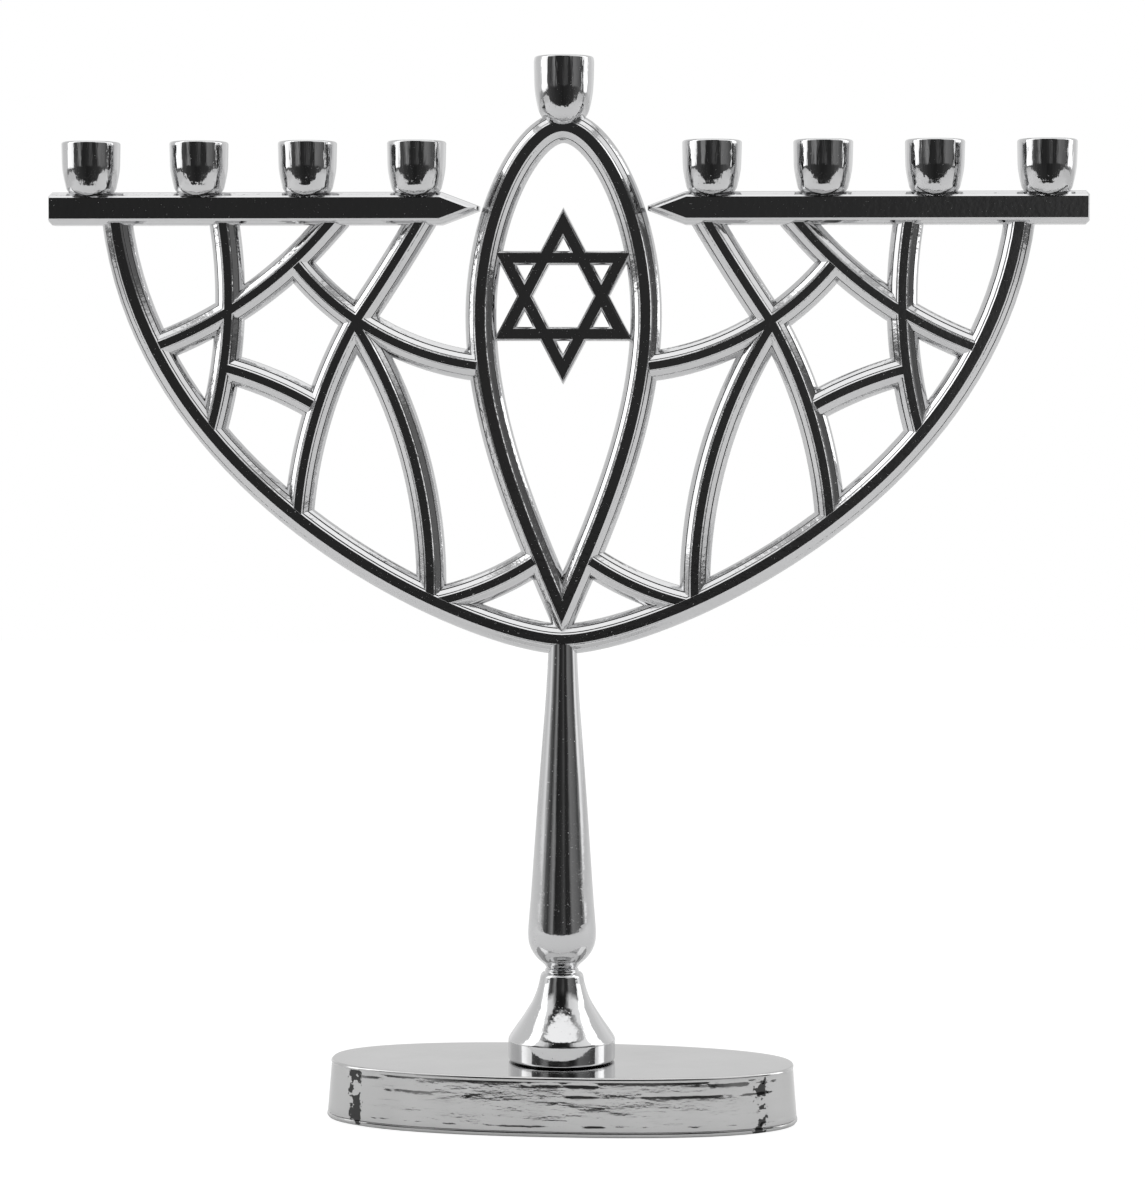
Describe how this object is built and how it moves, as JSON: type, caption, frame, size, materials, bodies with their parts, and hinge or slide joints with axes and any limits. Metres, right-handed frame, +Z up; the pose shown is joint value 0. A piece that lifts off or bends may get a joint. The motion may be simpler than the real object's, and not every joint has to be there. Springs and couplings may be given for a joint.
{
  "type": "menorah",
  "caption": "Plated openwork menorah: leaf-veined fan with a pointed oval and star, two cup bars and a raised cup, on a turned stem and oblong base.",
  "frame": {"origin": "centre of the pad's underside, where the menorah stands", "axes": "+Z up, +X to the right of somebody facing the front, front faces -Y"},
  "size_m": [0.2548, 0.0486, 0.2616],
  "materials": {
    "base_metal": "bright plated casting, slightly wavy",
    "stem_metal": "bright plated, turned",
    "fan_metal": "bright plated casting",
    "cup_metal": "bright plated casting",
    "fastener_steel": "zinc plated",
    "pad_rubber": "matt foam"
  },
  "bodies": {
    "root": {"base_shell": "base_metal", "base_pad": "pad_rubber", "clamp_screw": "fastener_steel", "screw_washer": "fastener_steel", "stem_foot": "stem_metal", "stem": "stem_metal", "bow": "fan_metal", "mandorla": "fan_metal", "tracery_left": "fan_metal", "tracery_right": "fan_metal", "bar_left": "fan_metal", "bar_right": "fan_metal", "star": "fan_metal", "candle_cup_1": "cup_metal", "candle_cup_2": "cup_metal", "candle_cup_3": "cup_metal", "candle_cup_4": "cup_metal", "candle_cup_5": "cup_metal", "candle_cup_6": "cup_metal", "candle_cup_7": "cup_metal", "candle_cup_8": "cup_metal", "shamash_cup": "cup_metal"}
  },
  "joints": []
}
